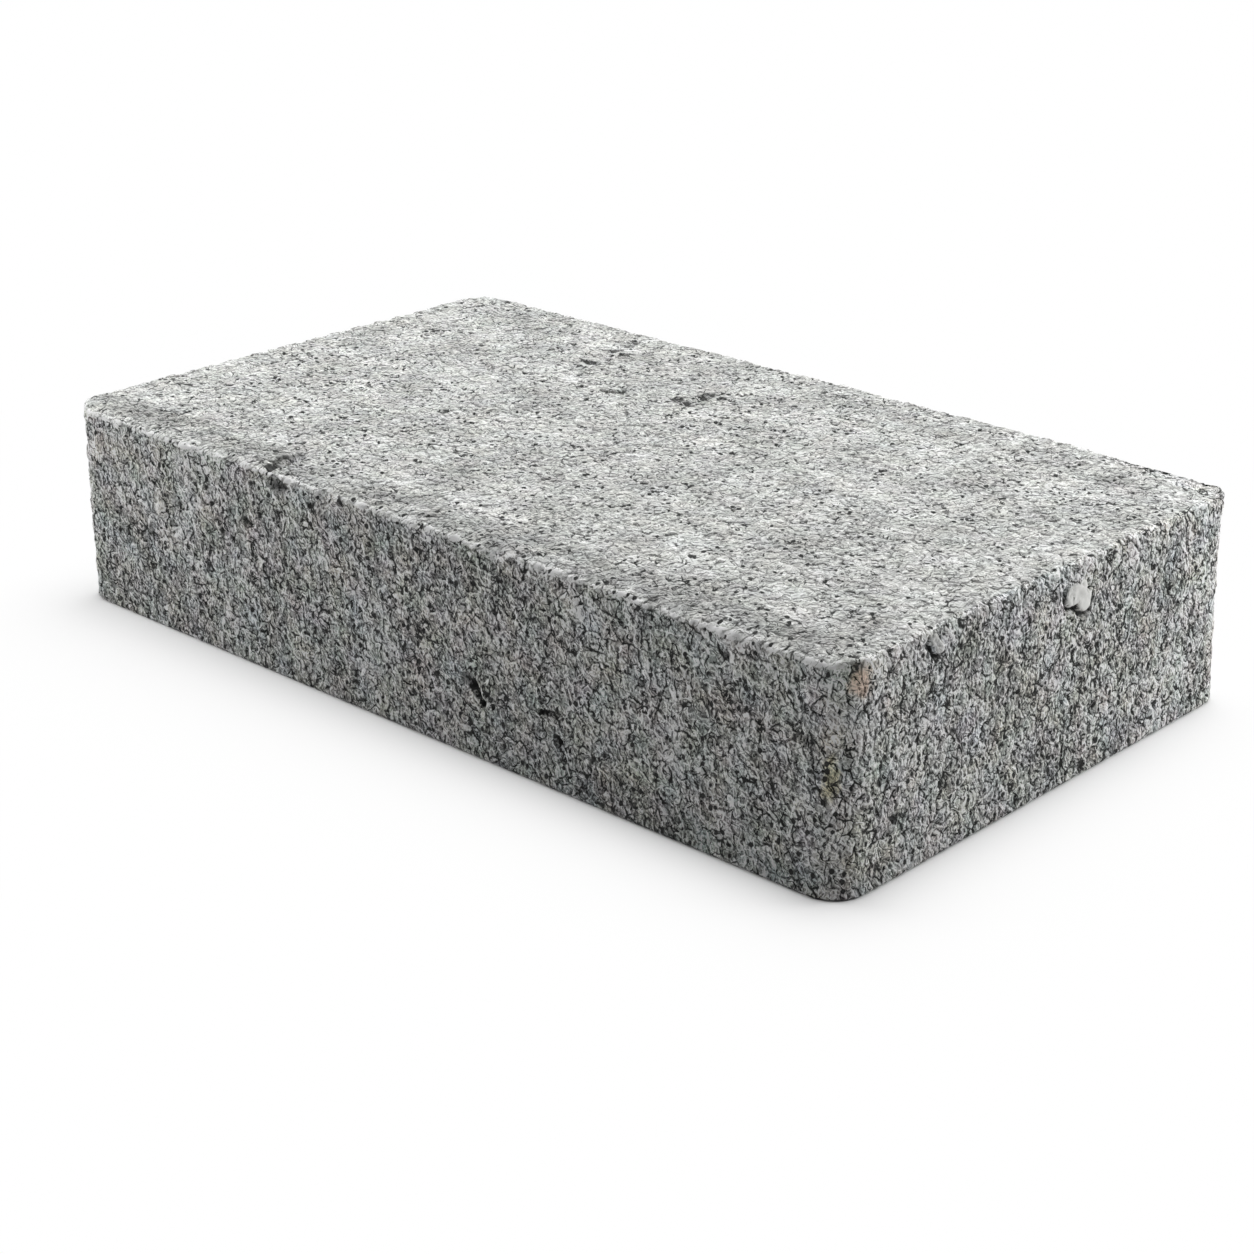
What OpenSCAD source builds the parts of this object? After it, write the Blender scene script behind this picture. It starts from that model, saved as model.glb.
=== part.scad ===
// Pressed concrete paving stone, cast as one block. The upright corners and every
// arris are rounded. One chip and three bites are broken out of a long edge of the walking
// face, which has torn hollows, and two of the joint faces have open pits.
// The stone lies on its bed, centred on the origin, with its length along X.

/* [Stone] */
// Length of the stone, along X
stone_length = 289; // [160:1:600]
// Width of the stone, along Y
stone_width = 167; // [100:1:400]
// Thickness, from the bed up to the walking face
stone_thickness = 60; // [40:1:120]

/* [Rounded edges] */
// Radius of the four upright corners, seen from above
corner_radius = 10; // [6:0.5:25]
// Radius of the arris around the walking face
top_arris_radius = 2; // [1:0.25:5]
// Radius of the arris around the bed
bed_arris_radius = 1.5; // [1:0.25:5]

/* [Chipped edge] */
// Distance from the left end of the stone to the middle of the chip's hollow
chip_from_end = 92; // [45:1:115]
// Width of the hollow that the chip left in the long face
chip_hollow_width = 9; // [6:0.5:14]
// Depth of the hollow, into the long face
chip_hollow_depth = 2.5; // [1:0.25:4]
// Distance from the walking face down to the middle of the hollow
chip_hollow_drop = 3.5; // [2:0.25:6]
// Distance along the edge from the middle of the hollow back to the groove above it
chip_groove_offset = 3; // [0:0.5:4]
// Length of the groove, in from the edge across the walking face
chip_groove_length = 14; // [5:0.5:25]
// Width of the groove at the edge
chip_groove_width = 5; // [4:0.5:8]
// Depth of the groove at the edge, which runs out to nothing at its inner end
chip_groove_depth = 1.75; // [0.5:0.25:2]

/* [Worn places] */
// Width of the bites out of the chipped edge
bite_width = 9; // [5:0.5:12]
// Depth of the bites, square to the edge
bite_depth = 1.5; // [0.5:0.25:2]
// Width of the hollows torn in the walking face
torn_hollow_width = 12; // [8:0.5:16]
// Depth of the torn hollows
torn_hollow_depth = 1; // [0.5:0.25:2]
// Width of the open pits in the joint faces
pit_width = 4; // [2:0.5:6]
// Depth of the open pits
pit_depth = 1.5; // [0.5:0.25:2]

/* [Hidden] */

$fn = 96;
concrete_grey = [0.52, 0.53, 0.52];
// Overrun of the groove's cutter, past the long face
cut_past = 4;
// Places of the four upright corners' centres
corner_x = stone_length / 2 - corner_radius;
corner_y = stone_width / 2 - corner_radius;
// Planes of the two joint faces that show wear
long_face_y = -stone_width / 2;
end_face_x = stone_length / 2;
// Place of the chip along the long edge
chip_x = chip_from_end - stone_length / 2;
// Places of the bites, along the edge from the chip
bite_offsets = [-17.5, 22, 85.5];
// Places of the torn hollows: from the stone's middle along X, and from its back face
torn_hollow_places = [[-64, 27.5], [-13, 41], [-37, 49]];
// Places of the open pits: from the face's middle, and from the bed
long_face_pits = [[25, 19.5], [50, 20]];
end_face_pits = [[18.5, 18], [43.5, 21]];

// Radius of a round cut that is this wide at the surface and this deep
function round_cut_radius(width, depth) = (pow(width / 2, 2) + pow(depth, 2)) / (2 * depth);

// Upright section through the stone: a rectangle with its arrises rounded
module arris_section(width) {
    side_height = stone_thickness - top_arris_radius - bed_arris_radius;
    translate([-width / 2, bed_arris_radius]) square([width, side_height]);
    arris_row(width, top_arris_radius, stone_thickness - top_arris_radius);
    mirror([0, 1]) arris_row(width, bed_arris_radius, -bed_arris_radius);
}

// Strip of the section along one face, with the round of its arris at each end
module arris_row(width, radius, start) {
    between = width - 2 * radius;
    translate([-between / 2, start]) square([between, radius]);
    for (side = [-1, 1])
        translate([side * between / 2, start]) circle(radius);
}

// Half of the section across one upright corner, to be turned about its own axis
module corner_section() {
    intersection() {
        arris_section(2 * corner_radius);
        square([corner_radius, stone_thickness]);
    }
}

// The whole block, before it was chipped and worn
module rounded_block() {
    rotate([90, 0, 90]) translate([0, 0, -corner_x])
        linear_extrude(2 * corner_x) arris_section(stone_width);
    rotate([90, 0, 0]) translate([0, 0, -corner_y])
        linear_extrude(2 * corner_y) arris_section(stone_length);
    for (side_x = [-1, 1], side_y = [-1, 1])
        translate([side_x * corner_x, side_y * corner_y]) rotate_extrude() corner_section();
}

// Shell-shaped hollow under the broken edge
module chip_hollow() {
    radius = round_cut_radius(chip_hollow_width, chip_hollow_depth);
    translate([chip_x, long_face_y + chip_hollow_depth - radius, stone_thickness - chip_hollow_drop])
        sphere(radius);
}

// Groove that starts at the broken edge and runs out across the walking face
module chip_groove() {
    edge_radius = round_cut_radius(chip_groove_width, chip_groove_depth);
    taper = chip_groove_depth / chip_groove_length;
    axis_height = stone_thickness + edge_radius - chip_groove_depth;
    translate([chip_x - chip_groove_offset, long_face_y - cut_past, axis_height])
        rotate([-90, 0, 0])
            cylinder(
                h = cut_past + chip_groove_length,
                r1 = edge_radius + taper * cut_past,
                r2 = edge_radius - chip_groove_depth
            );
}

// Bites where the edge has crumbled
module edge_bites() {
    radius = round_cut_radius(bite_width, bite_depth);
    outside = (radius - bite_depth) / sqrt(2);
    for (from_chip = bite_offsets)
        translate([chip_x + from_chip, long_face_y - outside, stone_thickness + outside]) sphere(radius);
}

// Shallow hollows where the mix tore as the stone was pressed
module torn_hollows() {
    radius = round_cut_radius(torn_hollow_width, torn_hollow_depth);
    for (place = torn_hollow_places)
        translate([place[0], stone_width / 2 - place[1], stone_thickness + radius - torn_hollow_depth])
            sphere(radius);
}

// Open pits between coarse grains
module open_pits() {
    radius = round_cut_radius(pit_width, pit_depth);
    outside = radius - pit_depth;
    for (place = long_face_pits)
        translate([place[0], long_face_y - outside, place[1]]) sphere(radius);
    for (place = end_face_pits)
        translate([end_face_x + outside, place[0], place[1]]) sphere(radius);
}

module paving_stone() {
    color(concrete_grey)
        difference() {
            rounded_block();
            chip_hollow();
            chip_groove();
            edge_bites();
            torn_hollows();
            open_pits();
        }
}

paving_stone();
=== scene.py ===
"""Concrete paving stone: the pressed block with its grain, pits and worn arrises, on a pale studio floor.

Laid out as an add-on. One operator makes the stone, another sets the stage. Lengths are in metres.
"""
import math

import bmesh
import bpy
import numpy as np
from bpy.props import FloatProperty, FloatVectorProperty, IntProperty, PointerProperty
from mathutils import Matrix, Vector


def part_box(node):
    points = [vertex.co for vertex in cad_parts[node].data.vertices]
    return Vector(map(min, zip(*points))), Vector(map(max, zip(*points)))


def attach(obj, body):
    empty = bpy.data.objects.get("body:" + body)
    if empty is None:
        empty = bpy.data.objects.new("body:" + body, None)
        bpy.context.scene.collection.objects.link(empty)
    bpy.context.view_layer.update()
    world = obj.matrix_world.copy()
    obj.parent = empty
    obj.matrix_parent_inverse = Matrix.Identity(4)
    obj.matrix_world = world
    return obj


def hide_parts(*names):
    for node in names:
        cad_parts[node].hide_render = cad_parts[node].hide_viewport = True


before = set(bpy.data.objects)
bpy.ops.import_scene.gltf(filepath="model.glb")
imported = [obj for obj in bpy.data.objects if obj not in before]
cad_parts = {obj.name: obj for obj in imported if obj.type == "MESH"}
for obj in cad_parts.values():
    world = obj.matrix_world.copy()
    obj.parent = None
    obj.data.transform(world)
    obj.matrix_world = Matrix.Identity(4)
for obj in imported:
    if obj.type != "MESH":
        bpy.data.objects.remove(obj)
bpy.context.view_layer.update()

bl_info = {
    "name": "Concrete Paving Stone",
    "version": (1, 0, 0),
    "blender": (4, 5, 0),
    "location": "View3D > Sidebar > Paving",
    "description": "A pressed concrete paving stone with open grain and a chipped edge",
    "category": "Add Mesh",
}

NODE = "paving_stone"
LOW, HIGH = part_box(NODE)
LENGTH, WIDTH, HEIGHT = HIGH - LOW
FRONT_Y = LOW.y
END_X = HIGH.x
TOP_Z = HIGH.z
TINY = 1e-6
WHITE = (1.0, 1.0, 1.0, 1.0)


class StoneShape(bpy.types.PropertyGroup):
    """Roundings, chip and relief of the stone."""

    corner_radius: FloatProperty(
        name="Corner radius", description="Radius of the four upright corners",
        default=0.010, min=0.002, unit="LENGTH")
    top_arris: FloatProperty(
        name="Top arris", description="Radius of the arris round the walking face",
        default=0.0007, min=0.0005, unit="LENGTH")
    bed_arris: FloatProperty(
        name="Bed arris", description="Radius of the arris round the bed",
        default=0.0006, min=0.0005, unit="LENGTH")
    chip_from_end: FloatProperty(
        name="Chip place", description="Distance from the left end to the chip's hollow",
        default=0.092, min=0.02, unit="LENGTH")
    granule: FloatProperty(
        name="Granule", description="Usual size of the granules that the surface is pressed from",
        default=0.0030, min=0.001, unit="LENGTH")
    granule_depth: FloatProperty(
        name="Crevice depth", description="Depth of the crevices between granules",
        default=0.0006, min=0.0, unit="LENGTH")
    lump_height: FloatProperty(
        name="Lumps", description="Height of the lumps that the coarse grains make",
        default=0.0018, min=0.0, unit="LENGTH")
    swell_depth: FloatProperty(
        name="Swell", description="Height of the broad waves of the faces",
        default=0.0007, min=0.0, unit="LENGTH")
    nibble_depth: FloatProperty(
        name="Nibbled arris", description="Depth of the small nibbles along the top arris",
        default=0.0003, min=0.0, unit="LENGTH")
    front_wear: FloatProperty(
        name="Worn front edge", description="How far the front edge of the walking face is worn down",
        default=0.0013, min=0.0, unit="LENGTH")
    skin_step: FloatProperty(
        name="Skin step", description="Spacing of the even skin that carries the relief",
        default=0.0005, min=0.0003, unit="LENGTH")
    triangles: IntProperty(
        name="Triangles", description="Number of triangles that the finished stone is lightened to",
        default=190000, min=20000, max=199000)


class ConcreteFinish(bpy.types.PropertyGroup):
    """Colours of the concrete."""

    paste: FloatVectorProperty(
        name="Cement paste", description="Mean grey of the pressed surface",
        subtype="COLOR", size=3, min=0.0, max=1.0, default=(0.598, 0.606, 0.588))
    pale_grain: FloatVectorProperty(
        name="Pale grain", description="Quartz grains and dry dust",
        subtype="COLOR", size=3, min=0.0, max=1.0, default=(0.80, 0.80, 0.775))
    # Painted shade inside pores, crevices, the gaps beside proud grains and the named pits
    painted_hollow_shade: FloatVectorProperty(
        name="Pore", description="Inside of pores and crevices",
        subtype="COLOR", size=3, min=0.0, max=1.0, default=(0.025, 0.026, 0.025))
    rust_stain: FloatVectorProperty(
        name="Rust stain", description="Rust-brown spot by the front corner",
        subtype="COLOR", size=3, min=0.0, max=1.0, default=(1.0, 0.78, 0.64))
    clay_stain: FloatVectorProperty(
        name="Clay stain", description="Yellow-brown streak on the front corner",
        subtype="COLOR", size=3, min=0.0, max=1.0, default=(1.0, 0.93, 0.68))


class StudioStage(bpy.types.PropertyGroup):
    """Floor, light and camera."""

    floor_colour: FloatVectorProperty(
        name="Floor", description="Colour of the floor",
        subtype="COLOR", size=3, min=0.0, max=1.0, default=(0.86, 0.86, 0.86))
    sky_strength: FloatProperty(
        name="Room light", description="Strength of the even light from all round",
        default=0.03, min=0.0)
    shadow_share: FloatProperty(
        name="Shadow", description="Share of the floor's own shading that shows beside the stone",
        default=0.68, min=0.0, max=1.0, subtype="FACTOR")
    shadow_reach: FloatProperty(
        name="Shadow reach", description="Distance over which that shading runs out to white",
        default=0.013, min=0.001, unit="LENGTH")
    contact_reach: FloatProperty(
        name="Contact shadow", description="Width of the dark line where the stone meets the floor",
        default=0.0007, min=0.0001, unit="LENGTH")
    view_azimuth: FloatProperty(
        name="Azimuth", description="Direction that the camera looks from, turned from the front",
        default=math.radians(43.133), subtype="ANGLE")
    view_elevation: FloatProperty(
        name="Elevation", description="Height of the camera above the floor, as an angle",
        default=math.radians(22.322), subtype="ANGLE")
    view_distance: FloatProperty(
        name="Distance", description="Distance from the camera to the point it looks at",
        default=0.72651, min=0.1, unit="LENGTH")
    view_target: FloatVectorProperty(
        name="Target", description="Point that the camera looks at",
        size=3, subtype="TRANSLATION", unit="LENGTH", default=(0.00067, -0.00077, 0.0048))
    lens: FloatProperty(
        name="Lens", description="Focal length in millimetres on a 36 mm sensor",
        default=73.14, min=10.0)


class Graph:
    """Adds nodes to one tree and wires them. The relief and the finish are both made with it."""

    def __init__(self, tree):
        self.tree = tree

    def add(self, kind, feeds=(), **settings):
        node = self.tree.nodes.new(kind)
        for name, value in settings.items():
            setattr(node, name, value)
        for socket, value in dict(feeds).items():
            self.feed(node.inputs[socket], value)
        return node

    def feed(self, socket, value):
        if isinstance(value, bpy.types.NodeSocket):
            self.tree.links.new(value, socket)
        else:
            socket.default_value = value

    def math(self, operation, *values):
        return self.add("ShaderNodeMath", enumerate(values), operation=operation).outputs[0]

    def total(self, *values):
        result = values[0]
        for value in values[1:]:
            result = self.math("ADD", result, value)
        return result

    def product(self, *values):
        result = values[0]
        for value in values[1:]:
            result = self.math("MULTIPLY", result, value)
        return result

    def vector(self, operation, *values):
        node = self.add("ShaderNodeVectorMath", enumerate(values), operation=operation)
        return node.outputs["Value" if operation in {"DISTANCE", "LENGTH", "DOT_PRODUCT"} else "Vector"]

    def smooth(self, value, start, end, low=0.0, high=1.0):
        """Goes from low at start to high at end along a smooth step."""
        node = self.add("ShaderNodeMapRange", enumerate((value, start, end, low, high)),
                        interpolation_type="SMOOTHSTEP")
        return node.outputs[0]

    def noise(self, coords, size, detail=2.0, roughness=0.5):
        feeds = {"Vector": coords, "Scale": 1.0 / size, "Detail": detail, "Roughness": roughness}
        return self.add("ShaderNodeTexNoise", feeds)

    def centred(self, coords, size, detail=2.0, roughness=0.5):
        """Noise about zero."""
        return self.math("SUBTRACT", self.noise(coords, size, detail, roughness).outputs[0], 0.5)

    def cells(self, coords, size, feature="F1"):
        feeds = {"Vector": coords, "Scale": 1.0 / size}
        return self.add("ShaderNodeTexVoronoi", feeds, feature=feature)

    def mix_vector(self, factor, first, second):
        node = self.add("ShaderNodeMix", {0: factor, 4: first, 5: second}, data_type="VECTOR")
        return node.outputs[1]

    def split(self, vector):
        return self.add("ShaderNodeSeparateXYZ", {0: vector}).outputs

    def mix(self, factor, first, second, blend="MIX"):
        node = self.add("ShaderNodeMix", {0: factor, 6: first, 7: second},
                        data_type="RGBA", blend_type=blend)
        return node.outputs[2]


# Grain is drawn out a little along Z, the way the stone was pressed and lifted from its mould
DRAG = (1.0, 1.0, 0.85)

# Step across a grain, from its shaded side to its lit side: on the walking face, and on the sides
TOP_STEP = (-0.00018, 0.00022, 0.00018)
SIDE_STEP = (0.00018, 0.00022, 0.00012)

# Share of a hollow's depth that counts in the distance from its middle
DEPTH_SHARE = 0.25

# Hollows in the faces: place, radius, depth, and how dark the painted shade inside is
PITS = (
    # Wedge-shaped crevice on the front, beside a coarse granule
    ((0.0215, FRONT_Y, 0.0209), 0.0018, 0.0010, 0.5),
    ((0.0242, FRONT_Y, 0.0203), 0.0017, 0.0022, 1.0),
    ((0.0262, FRONT_Y, 0.0182), 0.0014, 0.0022, 1.0),
    ((0.0278, FRONT_Y, 0.0160), 0.0013, 0.0020, 1.0),
    # Short crack on the front, and the pore below it
    ((0.0484, FRONT_Y, 0.0199), 0.0009, 0.0014, 1.0),
    ((0.0500, FRONT_Y, 0.0203), 0.0009, 0.0016, 1.0),
    ((0.0516, FRONT_Y, 0.0207), 0.0009, 0.0014, 1.0),
    ((0.0543, FRONT_Y, 0.0137), 0.0015, 0.0020, 1.0),
    # Single hollows on the front
    ((-0.0652, FRONT_Y, 0.0428), 0.0013, 0.0014, 0.8),
    ((-0.0143, FRONT_Y, 0.0485), 0.0011, 0.0010, 0.6),
    ((0.0090, FRONT_Y, 0.0377), 0.0011, 0.0010, 0.6),
    ((0.0824, FRONT_Y, 0.0381), 0.0010, 0.0010, 0.6),
    ((0.1090, FRONT_Y, 0.0526), 0.0011, 0.0012, 0.8),
    # Single hollows on the right end
    ((END_X, 0.0186, 0.0181), 0.0012, 0.0012, 0.8),
    ((END_X, 0.0437, 0.0212), 0.0014, 0.0012, 0.8),
    ((END_X, -0.0700, 0.0275), 0.0012, 0.0012, 0.7),
    ((END_X, -0.0637, 0.0158), 0.0012, 0.0012, 0.7),
    # Three torn places on the walking face: a broad hollow each, with small holes in a row that are painted
    # dark as shade
    ((-0.0640, 0.0560, TOP_Z), 0.0065, 0.0006, 0.10),
    ((-0.0650, 0.0507, TOP_Z), 0.0017, 0.0009, 0.92),
    ((-0.0625, 0.0504, TOP_Z), 0.0023, 0.0010, 0.92),
    ((-0.0600, 0.0502, TOP_Z), 0.0022, 0.0010, 0.92),
    ((-0.0576, 0.0515, TOP_Z), 0.0016, 0.0009, 0.92),
    ((-0.0653, 0.0636, TOP_Z), 0.0019, 0.0008, 0.90),
    ((-0.0596, 0.0622, TOP_Z), 0.0019, 0.0008, 0.90),
    ((-0.0653, 0.0707, TOP_Z), 0.0016, 0.0008, 0.7),
    ((-0.0664, 0.0751, TOP_Z), 0.0014, 0.0008, 0.6),
    ((-0.0370, 0.0345, TOP_Z), 0.0055, 0.0006, 0.10),
    ((-0.0385, 0.0328, TOP_Z), 0.0023, 0.0010, 0.92),
    ((-0.0358, 0.0354, TOP_Z), 0.0023, 0.0010, 0.92),
    ((-0.0130, 0.0425, TOP_Z), 0.0055, 0.0006, 0.12),
    ((-0.0175, 0.0406, TOP_Z), 0.0014, 0.0009, 0.9),
    ((-0.0141, 0.0399, TOP_Z), 0.0017, 0.0011, 0.92),
    ((-0.0110, 0.0386, TOP_Z), 0.0021, 0.0014, 0.92),
    ((-0.0096, 0.0409, TOP_Z), 0.0017, 0.0012, 0.92),
    ((-0.0132, 0.0470, TOP_Z), 0.0015, 0.0009, 0.9),
    ((-0.0122, 0.0493, TOP_Z), 0.0015, 0.0009, 0.9),
    ((-0.0076, 0.0488, TOP_Z), 0.0015, 0.0009, 0.85),
    ((-0.0041, 0.0493, TOP_Z), 0.0015, 0.0009, 0.85),
    # Smaller marks on the walking face
    ((0.1169, 0.0646, TOP_Z), 0.0050, 0.0008, 0.30),
    ((0.0577, -0.0466, TOP_Z), 0.0013, 0.0012, 0.8),
    ((-0.0581, -0.0147, TOP_Z), 0.0016, 0.0011, 0.8),
    # Shade inside the chip: its cleft, its groove and its hollow
    ((-0.0568, -0.0806, 0.0588), 0.0015, 0.0002, 0.92),
    ((-0.0574, -0.0788, 0.0586), 0.0017, 0.0002, 0.95),
    ((-0.0580, -0.0768, 0.0586), 0.0016, 0.0002, 0.90),
    ((-0.0584, -0.0740, 0.0584), 0.0028, 0.0002, 0.48),
    ((-0.0514, -0.0822, 0.0558), 0.0028, 0.0002, 0.42),
    # Rounded-off top of the right back corner
    ((END_X, HIGH.y, TOP_Z), 0.0140, 0.0012, 0.0),
)
# Coarse granules that swell out of a face: place, radius, height
GRANULES = (
    ((0.0300, FRONT_Y, 0.0200), 0.0036, 0.0007),
    ((0.0495, FRONT_Y, 0.0250), 0.0034, 0.0005),
)
# Grains left proud of the end face: the middle and radius of each lobe, the grain's middle, its height,
# how pale it is, and the side that the open gap beside it lies on
PROUD_GRAINS = (
    # Pebble near the upper edge
    ((((END_X, 0.0058, 0.0516), 0.0033),
      ((END_X, 0.0089, 0.0526), 0.0025),
      ((END_X, 0.0106, 0.0489), 0.0030)),
     (END_X, 0.0083, 0.0510), 0.0004, 0.95, (0.0, -0.6, -0.8)),
    # Smaller grain, nearer to the front corner
    ((((END_X, -0.0508, 0.0569), 0.0017),
      ((END_X, -0.0494, 0.0549), 0.0019)),
     (END_X, -0.0500, 0.0558), 0.0005, 0.60, (0.0, -0.8, -0.6)),
)
# Width of a proud grain's flank, and width and depth of the gaps beside the grains, real hollows that are
# also painted dark as shade
GRAIN_FLANK = 0.0006
GAP_WIDTH = 0.0016
GAP_DEPTH = 0.0016
# Where a gap starts beside the grain, the share of its width that is fully open, and how far it lies
# to its side of the grain's middle
GAP_START = (-0.0001, 0.0002)
GAP_CORE = 0.6
GAP_SIDE = (0.0004, 0.0016)

# Bites out of the front edge of the walking face: place along X, width, depth
BITES = (
    (-0.0700, 0.0090, 0.0015),
    (-0.0305, 0.0090, 0.0017),
    (0.0330, 0.0090, 0.0016),
    (-0.0200, 0.0045, 0.0007),
    (0.0180, 0.0045, 0.0007),
    (0.0750, 0.0050, 0.0007),
    (0.1030, 0.0045, 0.0007),
)

# The chip, from its place along the front edge of the walking face: middle and half sizes of the hollow
# and of the groove, and how far the groove is turned
CHIP_HOLLOW = ((0.0014, -0.0006, -0.0032), (0.0050, 0.0034, 0.0024))
CHIP_GROOVE = ((-0.0040, 0.0084, 0.0004), (0.0030, 0.0080, 0.0028))
CHIP_GROOVE_TURN = math.radians(10)

# Worn slope along the front edge: how far behind the edge it runs out, the length of its uneven stretches,
# the levels between which they differ and by what share, and the depths where the wear runs out below
WEAR_REACH = 0.0034
WEAR_STRETCH = 0.030
WEAR_LEVELS = (0.3, 0.7)
WEAR_SHARES = (0.75, 1.25)
WEAR_FADE = (0.0060, 0.0015)

# Relief: sizes of the waves, the lumps and the nibbles, the level that lumps rise from, the levels between
# which a nibble starts, and the distances from the arris between which nibbles do
SWELL_SIZE = 0.016
LUMP_SIZE = 0.0045
LUMP_LEVEL = 0.62
NIBBLE_SIZE = 0.0065
NIBBLE_LEVELS = (0.50, 0.70)
NIBBLE_REACH = (0.0042, 0.0010)
# Extra rounding of the arris by the right end: the insets between which it starts, its depth, and the
# distances from the arris between which it starts
END_STRIP = (0.004, 0.001)
END_ROUNDING = 0.0004
END_ROUNDING_REACH = (0.0030, 0.0004)
# Heights between which the relief starts, so that the bed stays flat
BED_FADE = (0.0003, 0.0025)

# Noise size and reach that bend the outlines of granules, pits, named granules, grains and stains
GRANULE_BEND = (0.0042, 0.0036)
PIT_BEND = (0.0022, 0.0024)
COARSE_BEND = (0.0040, 0.0020)
PROUD_BEND = (0.0035, 0.0012)
STAIN_BEND = (0.0030, 0.0040)
# Crevices between granules: how near to the granule's edge they open, and where they are left open
CREVICE_EDGE = (0.095, 0.042)
CREVICE_PATCH = 0.0032
CREVICE_LEVELS = (0.49, 0.58)
# Share of the reach that is stained fully, and of a coarse granule's radius that is its crown
STAIN_CORE = 0.45
COARSE_CORE = 0.55
# Pits: rim and floor, and rim and core of the shade, in radii
PIT_RIM, PIT_FLOOR = 1.15, 0.45
SHADE_RIM, SHADE_CORE = 1.30, 0.85

# Stains: place, reach, and how far they are drawn out along Z
RUST_STAIN = ((0.1440, -0.0772, 0.0548), 0.0040, 0.72)
CLAY_STAIN = ((0.1400, -0.0832, 0.0310), 0.0034, 0.40)


def stain(graph, coords, spot):
    """How strongly a stain shows, with a ragged outline."""
    place, reach, drawn_out = spot
    away = graph.vector("SUBTRACT", warped(graph, coords, *STAIN_BEND), place)
    away = graph.vector("LENGTH", graph.vector("MULTIPLY", away, (1.0, 1.0, drawn_out)))
    return graph.smooth(away, reach, reach * STAIN_CORE)


def side_depth(graph, coords, shape):
    """Depth below the sides, which is less than zero beside the stone."""
    x, y, _ = graph.split(coords)
    past_x = graph.math("SUBTRACT", graph.math("ABSOLUTE", x), LENGTH / 2 - shape.corner_radius)
    past_y = graph.math("SUBTRACT", graph.math("ABSOLUTE", y), WIDTH / 2 - shape.corner_radius)
    corner = graph.add("ShaderNodeCombineXYZ", {0: graph.math("MAXIMUM", past_x, 0.0),
                                                1: graph.math("MAXIMUM", past_y, 0.0)}).outputs[0]
    inner = graph.math("MINIMUM", graph.math("MAXIMUM", past_x, past_y), 0.0)
    reach = graph.total(graph.vector("LENGTH", corner), inner)
    return graph.math("SUBTRACT", shape.corner_radius, reach)


def arris_distance(graph, coords, shape):
    """Distance from the sharp line that the top arris would have."""
    top_depth = graph.math("SUBTRACT", TOP_Z, graph.split(coords)[2])
    across = graph.add("ShaderNodeCombineXYZ", {0: side_depth(graph, coords, shape), 1: top_depth})
    return graph.vector("LENGTH", across.outputs[0])


def front_drop(graph, coords, shape):
    """How far a point is worn down with the front edge of the walking face."""
    _, y, z = graph.split(coords)
    behind = graph.math("DIVIDE", graph.math("SUBTRACT", y, FRONT_Y), WEAR_REACH)
    slope = graph.math("SUBTRACT", 1.0, graph.math("MINIMUM", graph.math("MAXIMUM", behind, 0.0), 1.0))
    uneven = graph.noise(coords, WEAR_STRETCH, 1.0).outputs[0]
    along = graph.smooth(uneven, *WEAR_LEVELS, *WEAR_SHARES)
    down = graph.smooth(z, *(TOP_Z - depth for depth in WEAR_FADE))
    return graph.product(slope, along, down, shape.front_wear)


def warped(graph, coords, size, reach):
    """Coordinates pushed about by a noise, so that what they carry has no even outline."""
    push = graph.vector("SUBTRACT", graph.noise(coords, size).outputs[1], (0.5, 0.5, 0.5))
    return graph.vector("ADD", coords, graph.vector("MULTIPLY", push, (reach, reach, reach)))


def granules(graph, coords, shape):
    """Granules of the pressed mix: open crevice, random numbers, bent coordinates and edge distance."""
    bent = warped(graph, coords, *GRANULE_BEND)
    edge = graph.cells(bent, shape.granule, "DISTANCE_TO_EDGE").outputs["Distance"]
    own = graph.split(graph.cells(bent, shape.granule).outputs["Color"])
    spread = graph.smooth(graph.noise(coords, CREVICE_PATCH, 2.0, 0.6).outputs[0], *CREVICE_LEVELS)
    crevice = graph.product(graph.smooth(edge, *CREVICE_EDGE), spread)
    return crevice, own, bent, edge


def facets(graph, coords, step, size, softness):
    """Grains that stand out of the paste: above zero on their lit side, below zero on their shaded side."""
    here = graph.noise(coords, size, 0.0).outputs[0]
    there = graph.noise(graph.vector("ADD", coords, step), size, 0.0).outputs[0]
    here, there = (graph.smooth(level, 0.5 - softness, 0.5 + softness) for level in (here, there))
    return graph.math("SUBTRACT", here, there)


def along_face(graph, coords, place):
    """Distance from a place on a face, mostly along that face, so that it holds inside a hollow too."""
    faces = (END_X, FRONT_Y, TOP_Z)
    across = [DEPTH_SHARE if abs(near - face) < TINY else 1.0 for near, face in zip(place, faces)]
    away = graph.vector("MULTIPLY", graph.vector("SUBTRACT", coords, place), across)
    return graph.vector("LENGTH", away)


def pit_distances(graph, coords):
    """The named pits, each with the distance from its middle, bent so that outlines are ragged."""
    bent = warped(graph, coords, *PIT_BEND)
    return [(along_face(graph, bent, pit[0]), *pit[1:]) for pit in PITS]


def pit_depth(graph, coords):
    """How deep a point lies in the named pits, in metres."""
    return graph.total(*(graph.smooth(away, radius * PIT_RIM, radius * PIT_FLOOR, 0.0, depth)
                         for away, radius, depth, _ in pit_distances(graph, coords)))


def pit_shade(graph, coords):
    """How dark the painted shade is at a point that lies in a named pit."""
    darkest = 0.0
    for away, radius, _, dark in pit_distances(graph, coords):
        here = graph.smooth(away, radius * SHADE_RIM, radius * SHADE_CORE, 0.0, dark)
        darkest = graph.math("MAXIMUM", here, darkest)
    return darkest


def granule_field(graph, coords):
    """Height of the named granules."""
    bent = warped(graph, coords, *COARSE_BEND)
    heights = []
    for place, radius, height in GRANULES:
        away = graph.vector("DISTANCE", bent, place)
        heights.append(graph.smooth(away, radius, radius * COARSE_CORE, 0.0, height))
    return graph.total(*heights)


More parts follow.
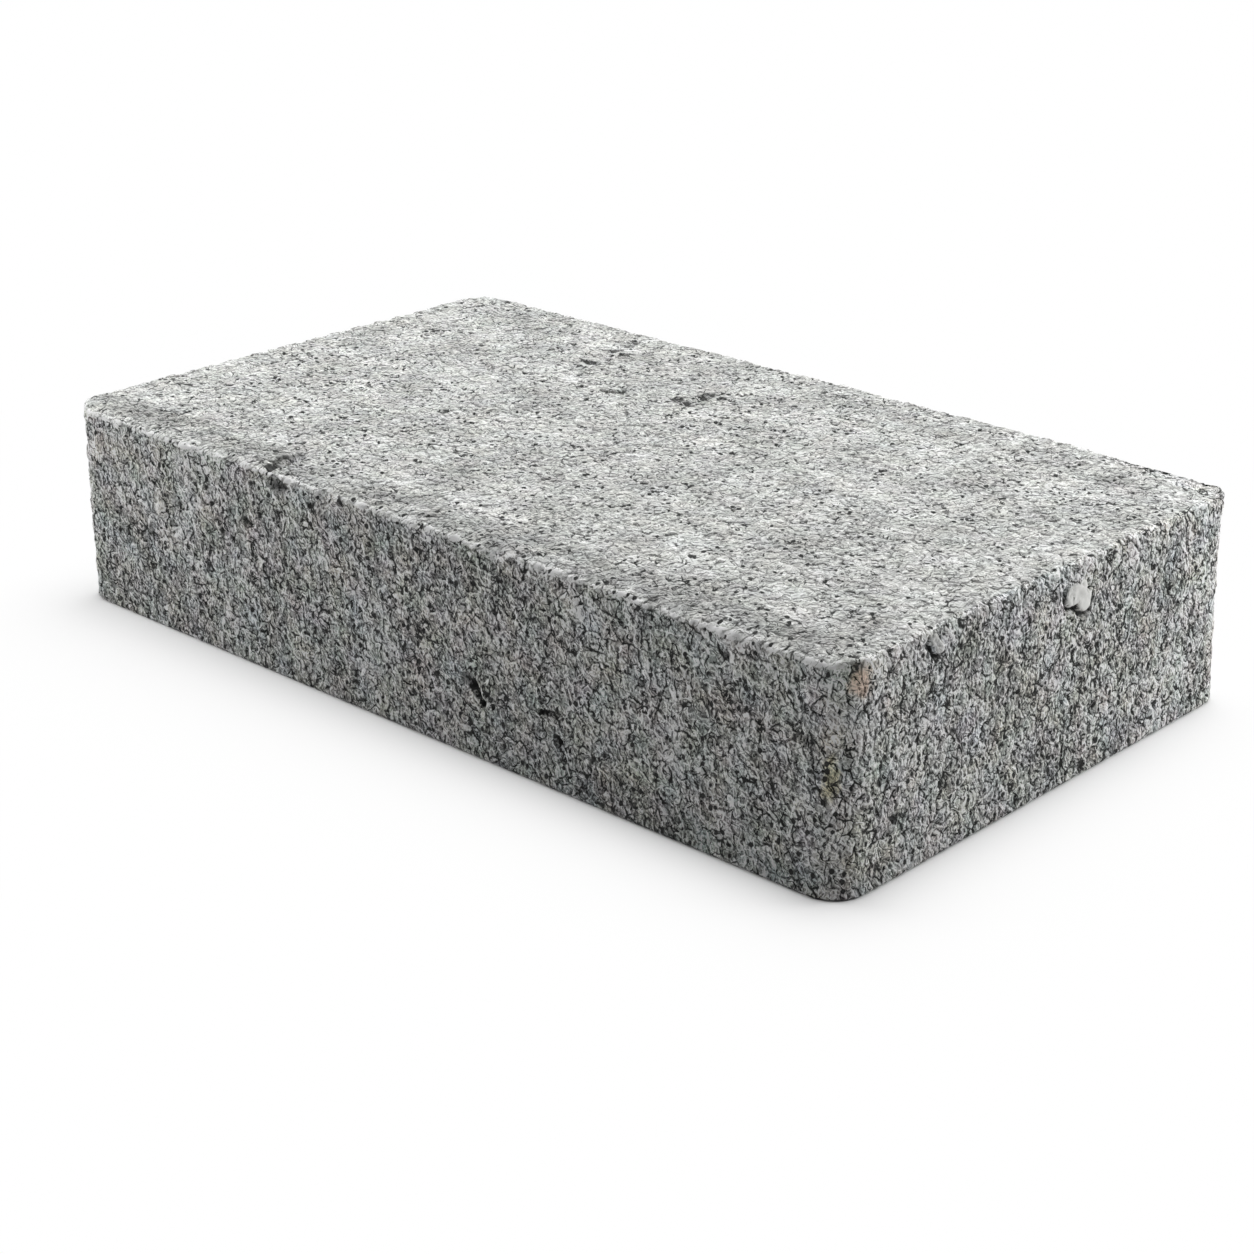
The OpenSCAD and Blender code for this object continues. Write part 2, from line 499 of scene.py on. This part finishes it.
def proud_field(graph, coords):
    """Height of the proud grains in metres, how pale they are, and how open the gap beside one is."""
    bent = warped(graph, coords, *PROUD_BEND)
    heights, paleness, gaps = [], [], []
    for lobes, middle, height, pale, gap_side in PROUD_GRAINS:
        nearest = None
        for place, radius in lobes:
            beyond = graph.math("SUBTRACT", along_face(graph, bent, place), radius)
            nearest = beyond if nearest is None else graph.math("MINIMUM", nearest, beyond)
        on_grain = graph.smooth(nearest, 0.0, -GRAIN_FLANK)
        towards_gap = graph.vector("DOT_PRODUCT", graph.vector("SUBTRACT", coords, middle), gap_side)
        heights.append(graph.product(on_grain, height))
        paleness.append(graph.product(on_grain, pale))
        gaps.append(graph.product(graph.smooth(nearest, *GAP_START),
                                  graph.smooth(nearest, GAP_WIDTH, GAP_WIDTH * GAP_CORE),
                                  graph.smooth(towards_gap, *GAP_SIDE)))
    return graph.total(*heights), graph.total(*paleness), graph.total(*gaps)


def relief_tree(shape):
    """Node tree that presses the granules, pits and worn arris into an even skin."""
    tree = bpy.data.node_groups.new("stone_relief", "GeometryNodeTree")
    tree.interface.new_socket("Geometry", in_out="INPUT", socket_type="NodeSocketGeometry")
    tree.interface.new_socket("Geometry", in_out="OUTPUT", socket_type="NodeSocketGeometry")
    graph = Graph(tree)
    coords = graph.add("GeometryNodeInputPosition").outputs[0]
    normal = graph.add("GeometryNodeInputNormal").outputs[0]
    x, _, z = graph.split(coords)
    arris = arris_distance(graph, coords, shape)

    crevice = granules(graph, graph.vector("MULTIPLY", coords, DRAG), shape)[0]
    swell = graph.product(graph.centred(coords, SWELL_SIZE, 3.0), shape.swell_depth)
    lump = graph.math("SUBTRACT", graph.noise(coords, LUMP_SIZE, 2.0, 0.6).outputs[0], LUMP_LEVEL)
    lump = graph.product(lump, shape.lump_height)
    groove = graph.product(crevice, -shape.granule_depth)
    bite = graph.smooth(graph.noise(coords, NIBBLE_SIZE, 3.0, 0.65).outputs[0], *NIBBLE_LEVELS)
    nibble = graph.product(bite, graph.smooth(arris, *NIBBLE_REACH), -shape.nibble_depth)
    by_end = graph.smooth(x, *(END_X - inset for inset in END_STRIP))
    rounding = graph.product(graph.smooth(arris, *END_ROUNDING_REACH), by_end, -END_ROUNDING)
    pit = graph.product(pit_depth(graph, coords), -1.0)
    proud, _, gap = proud_field(graph, coords)
    proud = graph.total(proud, graph.product(gap, -GAP_DEPTH))

    height = graph.total(swell, lump, groove, nibble, rounding, pit, granule_field(graph, coords), proud)
    height = graph.product(height, graph.smooth(z, *BED_FADE))
    offset = graph.add("ShaderNodeVectorMath", {0: normal, 3: height}, operation="SCALE").outputs[0]
    drop = graph.product(front_drop(graph, coords, shape), -1.0)
    offset = graph.vector("ADD", offset, graph.add("ShaderNodeCombineXYZ", {2: drop}).outputs[0])
    source = graph.add("NodeGroupInput").outputs[0]
    moved = graph.add("GeometryNodeSetPosition", {"Geometry": source, "Offset": offset})
    graph.add("NodeGroupOutput", {0: moved.outputs[0]})
    return tree


def to_object(bm, name):
    mesh = bpy.data.meshes.new(name)
    bm.to_mesh(mesh)
    bm.free()
    made = bpy.data.objects.new(name, mesh)
    bpy.context.scene.collection.objects.link(made)
    return made


# Steps round an upright corner and an arris, and subdivisions of the balls that cut the edge
CORNER_STEPS = 12
ARRIS_STEPS = 4
BALL_STEPS = 4


def rounded_block(shape):
    """The block with its upright corners and its arrises rounded."""
    bm = bmesh.new()
    bmesh.ops.create_cube(bm, size=1.0)
    bmesh.ops.scale(bm, vec=HIGH - LOW, verts=bm.verts)
    bmesh.ops.translate(bm, vec=(HIGH + LOW) / 2, verts=bm.verts)
    upright = [e for e in bm.edges if abs(e.verts[0].co.z - e.verts[1].co.z) > TINY]
    bmesh.ops.bevel(bm, geom=upright, offset=shape.corner_radius, offset_type="OFFSET",
                    segments=CORNER_STEPS, profile=0.5, affect="EDGES", material=-1)
    for level, radius in ((TOP_Z, shape.top_arris), (LOW.z, shape.bed_arris)):
        rim = [e for e in bm.edges if all(abs(v.co.z - level) < TINY for v in e.verts)]
        bmesh.ops.bevel(bm, geom=rim, offset=radius, offset_type="OFFSET", segments=ARRIS_STEPS,
                        profile=0.5, affect="EDGES", material=-1)
    return bm


def edge_cutter(shape):
    """What broke off the front edge: the chip's shell-shaped hollow, its groove, and the bites."""
    chip = (LOW.x + shape.chip_from_end, FRONT_Y, TOP_Z)
    bm = bmesh.new()
    for (offset, halves), turn in ((CHIP_HOLLOW, 0.0), (CHIP_GROOVE, CHIP_GROOVE_TURN)):
        middle = Matrix.Translation([start + step for start, step in zip(chip, offset)])
        ball = middle @ Matrix.Rotation(turn, 4, "Z") @ Matrix.Diagonal((*halves, 1.0))
        bmesh.ops.create_icosphere(bm, subdivisions=BALL_STEPS, radius=1.0, matrix=ball)
    for place, width, depth in BITES:
        radius = ((width / 2) ** 2 + depth ** 2) / (2 * depth)
        outside = (radius - depth) * math.sqrt(0.5)
        middle = Matrix.Translation((place, FRONT_Y - outside, TOP_Z + outside))
        bmesh.ops.create_icosphere(bm, subdivisions=BALL_STEPS, radius=radius, matrix=middle)
    return bm


# Places where the finished skin stays dense, and how far round them
KEPT_DENSE = (
    ((-0.0530, -0.0800, TOP_Z), 0.013),
    (PROUD_GRAINS[0][1], 0.010),
    (PROUD_GRAINS[1][1], 0.006),
    ((0.0255, FRONT_Y, 0.0190), 0.008),
    ((0.0500, FRONT_Y, 0.0203), 0.006),
)

# Width of the dense strip along the two top arrises by the end and the front
DENSE_ARRIS = 0.0018

# Flat patches of the six sides: the axes laid along U and V, and where the patch starts on its sheet
PATCH_GAP = 0.004
PATCHES = (
    (2, 1, LENGTH + PATCH_GAP, WIDTH + PATCH_GAP),
    (0, 2, 0.0, 2 * (WIDTH + PATCH_GAP)),
    (0, 1, 0.0, WIDTH + PATCH_GAP),
    (2, 1, LENGTH + PATCH_GAP, 0.0),
    (0, 2, 0.0, 2 * (WIDTH + PATCH_GAP) + HEIGHT + PATCH_GAP),
    (0, 1, 0.0, 0.0),
)
PATCH_SHEET = 2 * (WIDTH + HEIGHT + 2 * PATCH_GAP)


def finished_mesh(worked):
    """The object's mesh with all its modifiers applied."""
    graph = bpy.context.evaluated_depsgraph_get()
    return bpy.data.meshes.new_from_object(worked.evaluated_get(graph))


def vertex_places(mesh):
    """Places of all vertices, one row each."""
    places = np.empty(len(mesh.vertices) * 3, dtype=np.float32)
    mesh.vertices.foreach_get("co", places)
    return places.reshape(-1, 3)


def lighten(worked, shape):
    """Thin the dense skin out, but not on the two top arrises in front and round the finer features."""
    mesh = worked.data
    places = vertex_places(mesh)
    keep = np.zeros(len(places), dtype=bool)
    for place, reach in KEPT_DENSE:
        keep |= np.linalg.norm(places - np.array(place), axis=1) < reach
    by_side = (places[:, 0] > END_X - DENSE_ARRIS) | (places[:, 1] < FRONT_Y + DENSE_ARRIS)
    keep |= by_side & (places[:, 2] > TOP_Z - DENSE_ARRIS)
    free = worked.vertex_groups.new(name="free")
    free.add(np.flatnonzero(~keep).tolist(), 1.0, "REPLACE")
    thin = worked.modifiers.new("thin", "DECIMATE")
    thin.ratio = shape.triangles / (2 * len(mesh.polygons))
    thin.use_collapse_triangulate = True
    thin.vertex_group = free.name
    thin.vertex_group_factor = 1.0


def require_closed(mesh):
    """Stop if the skin has an open or doubled edge."""
    bm = bmesh.new()
    bm.from_mesh(mesh)
    closed = all(edge.is_manifold for edge in bm.edges)
    bm.free()
    if not closed:
        raise RuntimeError("the stone's skin is not closed")


def lay_out(mesh):
    """Map each face flat onto the side of the block that it lies nearest to, six patches side by side."""
    corners = np.empty(len(mesh.loops), dtype=np.int32)
    mesh.loops.foreach_get("vertex_index", corners)
    corners = vertex_places(mesh)[corners]
    middles = corners.reshape(-1, 3, 3).mean(axis=1)
    low, high = np.array(LOW), np.array(HIGH)
    side = np.argmin(np.abs(np.hstack((middles - low, high - middles))), axis=1)
    side = np.repeat(side, 3)
    u_axis, v_axis, u_start, v_start = (np.array(column)[side] for column in zip(*PATCHES))
    rows = np.arange(len(corners))
    flat = corners - low
    layout = np.stack((flat[rows, u_axis] + u_start, flat[rows, v_axis] + v_start), axis=1) / PATCH_SHEET
    mesh.uv_layers.new(name="OFBake").uv.foreach_set("vector", layout.astype(np.float32).ravel())


class PAVING_OT_stone(bpy.types.Operator):
    """Make the paving stone"""

    bl_idname = "paving.stone"
    bl_label = "Paving Stone"

    def execute(self, context):
        shape = context.scene.stone_shape
        block = to_object(rounded_block(shape), "block")
        cutter = to_object(edge_cutter(shape), "edge_cutter")
        chip = block.modifiers.new("broken_edge", "BOOLEAN")
        chip.object = cutter
        chip.operation = "DIFFERENCE"
        chip.use_self = True
        skin = block.modifiers.new("even_skin", "REMESH")
        skin.mode = "VOXEL"
        skin.voxel_size = shape.skin_step
        relief = block.modifiers.new("relief", "NODES")
        relief.node_group = relief_tree(shape)
        worked = bpy.data.objects.new("worked", finished_mesh(block))
        context.scene.collection.objects.link(worked)
        lighten(worked, shape)
        mesh = finished_mesh(worked)
        for helper in (block, cutter, worked):
            bpy.data.objects.remove(helper)
        require_closed(mesh)
        lay_out(mesh)
        mesh.shade_smooth()
        stone = bpy.data.objects.new("stone", mesh)
        context.scene.collection.objects.link(stone)
        mesh.materials.clear()
        mesh.materials.append(concrete(context.scene.concrete_finish, shape))
        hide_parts(NODE)
        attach(stone, "root")
        return {"FINISHED"}


def rgba(colour):
    return (*colour, 1.0)


# Depths between which the tone of the sides, painted darker as shade, gives way to that of the walking
# face, and how much higher that lies on the right end
UPPER_FADE = (0.0018, 0.0008)
END_LIFT = 0.0018
END_LIFT_STRIP = (0.0030, 0.0012)
# Facets of coarse grains, sand and specks: size, softness, and how strongly the painted lit and shaded
# sides show
GRAIN_FACETS = (0.0025, 0.020, 0.72, 0.78)
SAND_FACETS = (0.0014, 0.035, 0.60, 0.62)
SPECK_FACETS = (0.0008, 0.070, 0.36, 0.34)
# Painted lit and shaded rims of the granules: width in the granule's own measure, steps across, and how
# strongly they show
RIM_WIDTH = 0.16
RIM_STEPS = 2.0
RIM_LIT, RIM_SHADED = 0.34, 0.40
# Two noises that bend the grains: size and reach
GRAIN_BENDS = ((0.0040, 0.0030), (0.0016, 0.0012))
# Pores: spacing, bend, the levels between which they grow to the largest, the softness of the rim, depth
PORE_SPACING = 0.0021
PORE_BEND = (0.0012, 0.0007)
PORE_LEVELS = (0.28, 1.0)
PORE_LARGEST = 0.34
PORE_RIM = (0.02, -0.05)
PORE_DEPTH = 0.0005
# Sizes of dust, lean streaks, blotches, open and closed mix, pale patches and tints, and how strongly
# dust, streaks and the granules' own tones show
DUST_SIZE = 0.0005
LEAN_SIZE = 0.0028
BLOTCH_SIZE = 0.020
OPEN_SIZE = 0.007
PALE_PATCH_SIZE = 0.010
TINT_SIZE = 0.009
DUST_GAIN = 0.4
LEAN_GAIN = 0.18
GRANULE_GAIN = 0.16
# Levels between which pale patches show, and the mix counts as closed up
PALE_PATCH_LEVELS = (0.08, 0.15)
CLOSED_LEVELS = (0.10, -0.02)
# Matt, with little shine
ROUGHNESS = 0.92
SHINE = 0.25
# Tone of the sides and of the walking face: the plain tone, and the strength of grains, shade and blotches
# The sides are painted darker and with stronger contrast than the walking face: painted shade on the same
# concrete
BASE_TONES = (0.845, 0.965)
PLAY_GAINS = (1.06, 0.37)
SHADE_GAINS = (1.10, 0.80)
BLOTCH_GAINS = (0.78, 0.52)
# Wear, the two bands and the painted corner light run out between two distances: from the arris, from the
# front face, below the top, from the corner, and from a bite in widths of it. The mix's openness takes part
# of the arris's wear away.
WORN_ARRIS = (0.0018, 0.0008)
WORN_OPENNESS = (-0.1, 0.12, 1.0, 0.5)
FRONT_ARRIS = (0.0050, 0.0020)
STRIP_FAR = (0.017, 0.011)
STRIP_NEAR = (0.0022, 0.0040)
COLLAR_DEPTH = (0.0090, 0.0020)
CORNER_LIGHT_REACH = (0.013, 0.004)
BROKEN_REACH = (0.55, 0.25)
# Tones that the worn places, the two bands and the painted light on the front corner add
WORN_GAINS = (0.18, 0.42)
STRIP_TONE = -0.12
COLLAR_TONE = 0.07
PAINTED_CORNER_LIGHT = 0.07
BROKEN_TONE = 0.08
PALE_PATCH_TONE = 0.06
# Tones are laid out as the eye sees them, and this power turns them into amounts of light. Then the
# darkest tone and the palest colour that there may be
EYE_POWER = 2.2
DARKEST_TONE = 0.15
PALEST = (0.88, 0.88, 0.88)
# How far red, green and blue stray, on the sides and on the walking face
SIDE_TINT = (0.36, 0.10, 0.36)
TOP_TINT = (0.08, 0.05, 0.10)
# How strongly stains show, how strongly the painted shade shows in pores, gaps and crevices, and in
# crevices where the walking face is closed up
RUST_SHARE = 0.85
PORE_DARK = 0.97
CREVICE_DARK = (0.95, 0.35)
# Grains left standing in the torn places of the walking face: the depths and the distances from the front
# where they start, which spare the chip, their size and levels, and how much of the painted shade they hide
TORN_DEPTH = (0.0030, 0.0020)
TORN_FROM_FRONT = (0.015, 0.025)
TORN_GRAIN = 0.0017
TORN_LEVELS = (0.48, 0.38)
TORN_HIDE = 0.55


def grain_light(graph, coords, drawn, step, granule, shape):
    """Painted light and shade of single grains. The strongest facet decides, because grains hide one
    another.
    """
    bent = drawn
    for size, reach in GRAIN_BENDS:
        bent = warped(graph, bent, size, reach)
    _, _, pressed, edge = granule
    across = graph.vector("MULTIPLY", step, (RIM_STEPS, RIM_STEPS, RIM_STEPS))
    beyond = graph.cells(graph.vector("ADD", pressed, across), shape.granule, "DISTANCE_TO_EDGE")
    rim = graph.math("SUBTRACT", graph.smooth(edge, 0.0, RIM_WIDTH),
                     graph.smooth(beyond.outputs["Distance"], 0.0, RIM_WIDTH))
    layers = []
    grains = ((bent, GRAIN_FACETS), (bent, SAND_FACETS), (coords, SPECK_FACETS))
    for place, (size, softness, *gains) in grains:
        layers.append((facets(graph, place, step, size, softness), *gains))
    layers.append((rim, RIM_LIT, RIM_SHADED))
    lit, shade = 0.0, 0.0
    for facet, lit_gain, shade_gain in layers:
        lit = graph.math("MAXIMUM", graph.product(facet, lit_gain), lit)
        shade = graph.math("MINIMUM", graph.product(facet, shade_gain), shade)
    return lit, shade


def pores(graph, drawn, openness):
    """Round pores, more of them where the mix is open."""
    cell = graph.cells(warped(graph, drawn, *PORE_BEND), PORE_SPACING)
    own = graph.split(cell.outputs["Color"])[0]
    size = graph.smooth(graph.total(own, openness), *PORE_LEVELS, 0.0, PORE_LARGEST)
    return graph.smooth(graph.math("SUBTRACT", cell.outputs["Distance"], size), *PORE_RIM)


def wear_and_painted_light(graph, coords, unworn, upper, openness, shape):
    """Tone added by the worn arris and bites, painted light on the front corner, a paler band high on the
    sides and a dark strip.
    """
    arris = arris_distance(graph, unworn, shape)
    worn = graph.product(graph.smooth(arris, *WORN_ARRIS), graph.smooth(openness, *WORN_OPENNESS))
    from_front = graph.math("SUBTRACT", graph.split(coords)[1], FRONT_Y)
    worn_gain = graph.smooth(from_front, *FRONT_ARRIS, *WORN_GAINS)
    strip = graph.product(graph.smooth(from_front, *STRIP_FAR), graph.smooth(from_front, *STRIP_NEAR))
    from_corner = graph.vector("SUBTRACT", coords, (END_X, FRONT_Y, 0.0))
    from_corner = graph.vector("LENGTH", graph.vector("MULTIPLY", from_corner, (1.0, 1.0, 0.0)))
    below_top = graph.math("SUBTRACT", TOP_Z, graph.split(unworn)[2])
    collar = graph.product(graph.smooth(below_top, *COLLAR_DEPTH), graph.math("SUBTRACT", 1.0, upper))
    broken = []
    for place, width, _ in BITES:
        away = graph.vector("DISTANCE", unworn, (place, FRONT_Y, TOP_Z))
        broken.append(graph.smooth(away, *(width * share for share in BROKEN_REACH)))
    return graph.total(graph.product(worn, worn_gain), graph.product(strip, upper, STRIP_TONE),
                       graph.product(collar, COLLAR_TONE), graph.product(graph.total(*broken), BROKEN_TONE),
                       # Painted highlight on the front upright corner
                       graph.product(graph.smooth(from_corner, *CORNER_LIGHT_REACH), PAINTED_CORNER_LIGHT))


def torn_shade(graph, coords, unworn):
    """Painted shade in the named pits, with grains left standing in the torn places of the walking face."""
    from_front = graph.math("SUBTRACT", graph.split(coords)[1], FRONT_Y)
    on_top = graph.smooth(graph.split(unworn)[2], *(TOP_Z - depth for depth in TORN_DEPTH))
    behind_chip = graph.smooth(from_front, *TORN_FROM_FRONT)
    standing = graph.smooth(graph.noise(coords, TORN_GRAIN, 2.0, 0.6).outputs[0], *TORN_LEVELS)
    hidden = graph.product(on_top, behind_chip, standing, TORN_HIDE)
    return graph.product(pit_shade(graph, coords), graph.math("SUBTRACT", 1.0, hidden))


def concrete(finish, shape):
    """Pressed concrete: sand grains, granules with dark crevices, pores, blotches, wear and stains, and
    painted light and shade.
    """
    material = bpy.data.materials.new("pressed_concrete")
    material.use_nodes = True
    tree = material.node_tree
    tree.nodes.clear()
    graph = Graph(tree)
    coords = graph.add("ShaderNodeTexCoord").outputs["Object"]
    drawn = graph.vector("MULTIPLY", coords, DRAG)
    lift = graph.add("ShaderNodeCombineXYZ", {2: front_drop(graph, coords, shape)}).outputs[0]
    unworn = graph.vector("ADD", coords, lift)
    by_end = (END_X - inset for inset in END_LIFT_STRIP)
    end_lift = graph.smooth(graph.split(coords)[0], *by_end, 0.0, END_LIFT)
    side_level = graph.math("SUBTRACT", graph.split(unworn)[2], end_lift)
    upper = graph.smooth(side_level, *(TOP_Z - depth for depth in UPPER_FADE))

    def by_face(side, top):
        """A value that is one thing on the sides and another on the walking face."""
        return graph.smooth(upper, 0.0, 1.0, side, top)

    granule = granules(graph, drawn, shape)
    crevice, own, _, _ = granule
    step = graph.mix_vector(upper, SIDE_STEP, TOP_STEP)
    lit, shade = grain_light(graph, coords, drawn, step, granule, shape)
    dust = graph.centred(coords, DUST_SIZE, 1.0)
    lean = graph.centred(drawn, LEAN_SIZE, 2.0, 0.6)
    blotch = graph.centred(coords, BLOTCH_SIZE, 4.0, 0.6)
    openness = graph.centred(drawn, OPEN_SIZE, 2.0, 0.6)
    pale_patch = graph.smooth(graph.centred(coords, PALE_PATCH_SIZE, 2.0), *PALE_PATCH_LEVELS)
    pore = pores(graph, drawn, openness)

    # Painted grain light goes in with the dust, lean streaks and granules' own tones; painted grain shade
    # goes in apart
    play = graph.total(lit, graph.product(dust, DUST_GAIN), graph.product(lean, LEAN_GAIN),
                       graph.product(graph.math("SUBTRACT", own[1], 0.5), GRANULE_GAIN))
    tone = graph.total(by_face(*BASE_TONES), graph.product(play, by_face(*PLAY_GAINS)),
                       graph.product(shade, by_face(*SHADE_GAINS)),
                       graph.product(blotch, by_face(*BLOTCH_GAINS)),
                       graph.product(pale_patch, upper, PALE_PATCH_TONE),
                       wear_and_painted_light(graph, coords, unworn, upper, openness, shape))
    tone = graph.math("POWER", graph.math("MAXIMUM", tone, DARKEST_TONE), EYE_POWER)
    grey = graph.add("ShaderNodeVectorMath", {0: finish.paste, 3: tone}, operation="SCALE").outputs[0]
    tint = graph.vector("SUBTRACT", graph.noise(coords, TINT_SIZE, 3.0).outputs[1], (0.5, 0.5, 0.5))
    tint = graph.vector("MULTIPLY", tint, graph.mix_vector(upper, SIDE_TINT, TOP_TINT))
    tint = graph.vector("ADD", tint, (1.0, 1.0, 1.0))
    grey = graph.vector("MINIMUM", graph.vector("MULTIPLY", grey, tint), PALEST)
    rust = graph.product(stain(graph, coords, RUST_STAIN), RUST_SHARE)
    colour = graph.mix(rust, grey, rgba(finish.rust_stain), "MULTIPLY")
    colour = graph.mix(stain(graph, coords, CLAY_STAIN), colour, rgba(finish.clay_stain), "MULTIPLY")

    # Pores and open crevices are painted dark as shade
    closed_up = graph.product(upper, graph.smooth(openness, *CLOSED_LEVELS))
    open_crevice = graph.product(crevice, graph.smooth(closed_up, 0.0, 1.0, *CREVICE_DARK))
    dark = graph.math("MAXIMUM", graph.product(pore, PORE_DARK), open_crevice)
    colour = graph.mix(dark, colour, rgba(finish.painted_hollow_shade))
    _, pale, gap = proud_field(graph, coords)
    colour = graph.mix(pale, colour, rgba(finish.pale_grain))
    # Painted shade in the named pits and in the gaps beside the proud grains
    dark = graph.math("MAXIMUM", torn_shade(graph, coords, unworn), graph.product(gap, PORE_DARK))
    colour = graph.mix(dark, colour, rgba(finish.painted_hollow_shade))
    bump = graph.add("ShaderNodeBump", {"Strength": 1.0, "Distance": 1.0,
                                        "Height": graph.product(pore, -PORE_DEPTH)})
    shader = graph.add("ShaderNodeBsdfPrincipled", {"Base Color": colour, "Roughness": ROUGHNESS,
                                                    "Specular IOR Level": SHINE, "Normal": bump.outputs[0]})
    graph.add("ShaderNodeOutputMaterial", {"Surface": shader.outputs[0]})
    return material


# How much faster the floor's shading runs out, from the left end of the stone to the right
SHADOW_TIGHTER = (0.85, 1.4)


def floor_material(stage, shape):
    """Pale matt floor that keeps the stone's shadow close by and runs out to white."""
    material = bpy.data.materials.new("studio_floor")
    material.use_nodes = True
    tree = material.node_tree
    tree.nodes.clear()
    graph = Graph(tree)
    coords = graph.add("ShaderNodeTexCoord").outputs["Object"]
    beside = graph.math("MINIMUM", side_depth(graph, coords, shape), 0.0)
    tighter = graph.smooth(graph.split(coords)[0], LOW.x, HIGH.x, *SHADOW_TIGHTER)
    fade = graph.math("EXPONENT", graph.product(beside, tighter, 1.0 / stage.shadow_reach))
    contact = graph.math("EXPONENT", graph.product(beside, 1.0 / stage.contact_reach))
    shaded = graph.total(graph.product(fade, stage.shadow_share),
                         graph.product(contact, 1.0 - stage.shadow_share))
    white_share = graph.math("SUBTRACT", 1.0, shaded)
    matt = graph.add("ShaderNodeBsdfDiffuse", {"Color": rgba(stage.floor_colour)})
    white = graph.add("ShaderNodeEmission", {"Color": WHITE, "Strength": 1.0})
    mixed = graph.add("ShaderNodeMixShader", {0: graph.product(white_share, seen_directly(graph)),
                                              1: matt.outputs[0], 2: white.outputs[0]})
    graph.add("ShaderNodeOutputMaterial", {"Surface": mixed.outputs[0]})
    return material


def seen_directly(graph):
    """1 for what the camera sees itself, in a reflection or through glass, 0 for light on things."""
    path = graph.add("ShaderNodeLightPath").outputs
    clear = graph.math("MAXIMUM", path["Is Glossy Ray"], path["Is Transmission Ray"])
    return graph.math("MAXIMUM", path["Is Camera Ray"], clear)


def room(stage):
    """Even light from all round, which the camera sees as white."""
    world = bpy.data.worlds.new("room")
    world.use_nodes = True
    tree = world.node_tree
    tree.nodes.clear()
    graph = Graph(tree)
    strength = graph.add("ShaderNodeMix", {0: seen_directly(graph), 2: stage.sky_strength, 3: 1.0},
                         data_type="FLOAT").outputs[0]
    sky = graph.add("ShaderNodeBackground", {"Color": WHITE, "Strength": strength})
    graph.add("ShaderNodeOutputWorld", {"Surface": sky.outputs[0]})
    return world


# Soft lamps: name, place, what it points at, width, power in watts
LAMPS = (
    ("key_behind", (-0.10, 0.45, 1.00), (0.0, 0.0, 0.03), 0.90, 10.0),
    ("fill_left_high", (-0.50, -0.25, 0.55), (-0.10, -0.05, 0.03), 0.35, 1.1),
    ("fill_left_low", (-0.38, -0.22, 0.32), (-0.12, -0.06, 0.03), 0.25, 0.8),
    ("fill_right", (0.40, 0.32, 0.30), (0.14, 0.06, 0.04), 0.20, 1.42),
)


# Size of the floor, width in millimetres of the sensor that the lens is stated for, and the distance
# from the camera where things start to be seen
FLOOR_REACH = 3.0
SENSOR_WIDTH = 36.0
NEAREST_SEEN = 0.01


def aim(thing, place, target):
    turn = (Vector(target) - Vector(place)).to_track_quat("-Z", "Y")
    thing.matrix_world = Matrix.Translation(place) @ turn.to_matrix().to_4x4()


class PAVING_OT_stage(bpy.types.Operator):
    """Set the floor, the lamps and the camera"""

    bl_idname = "paving.stage"
    bl_label = "Studio Stage"

    def execute(self, context):
        scene = context.scene
        stage = scene.studio_stage
        bm = bmesh.new()
        bmesh.ops.create_grid(bm, x_segments=1, y_segments=1, size=FLOOR_REACH)
        floor = to_object(bm, "floor")
        floor.data.materials.append(floor_material(stage, scene.stone_shape))
        scene.world = room(stage)
        for name, place, target, width, power in LAMPS:
            lamp = bpy.data.lights.new(name, "AREA")
            lamp.shape = "SQUARE"
            lamp.size = width
            lamp.energy = power
            holder = bpy.data.objects.new(name, lamp)
            scene.collection.objects.link(holder)
            aim(holder, place, target)
        lens = bpy.data.cameras.new("camera")
        lens.sensor_width = SENSOR_WIDTH
        lens.lens = stage.lens
        lens.clip_start = NEAREST_SEEN
        camera = bpy.data.objects.new("camera", lens)
        scene.collection.objects.link(camera)
        turn, rise = stage.view_azimuth, stage.view_elevation
        back = Vector((math.sin(turn) * math.cos(rise), -math.cos(turn) * math.cos(rise), math.sin(rise)))
        aim(camera, Vector(stage.view_target) + back * stage.view_distance, stage.view_target)
        scene.camera = camera
        scene.view_settings.view_transform = "Standard"
        return {"FINISHED"}


class PAVING_PT_panel(bpy.types.Panel):
    """Paving stone tools"""

    bl_idname = "PAVING_PT_panel"
    bl_label = "Paving Stone"
    bl_space_type = "VIEW_3D"
    bl_region_type = "UI"
    bl_category = "Paving"

    def draw(self, context):
        layout = self.layout
        for name in SETTINGS:
            group = getattr(context.scene, name)
            for item in group.bl_rna.properties.keys():
                if item not in {"rna_type", "name"}:
                    layout.prop(group, item)
        layout.operator(PAVING_OT_stone.bl_idname)
        layout.operator(PAVING_OT_stage.bl_idname)


SETTINGS = {"stone_shape": StoneShape, "concrete_finish": ConcreteFinish, "studio_stage": StudioStage}
CLASSES = (StoneShape, ConcreteFinish, StudioStage, PAVING_OT_stone, PAVING_OT_stage, PAVING_PT_panel)


def register():
    for cls in CLASSES:
        bpy.utils.register_class(cls)
    for name, group in SETTINGS.items():
        setattr(bpy.types.Scene, name, PointerProperty(type=group))


def unregister():
    for name in SETTINGS:
        delattr(bpy.types.Scene, name)
    for cls in reversed(CLASSES):
        bpy.utils.unregister_class(cls)


def main():
    register()
    bpy.ops.paving.stage()
    bpy.ops.paving.stone()


if __name__ == "__main__":
    main()
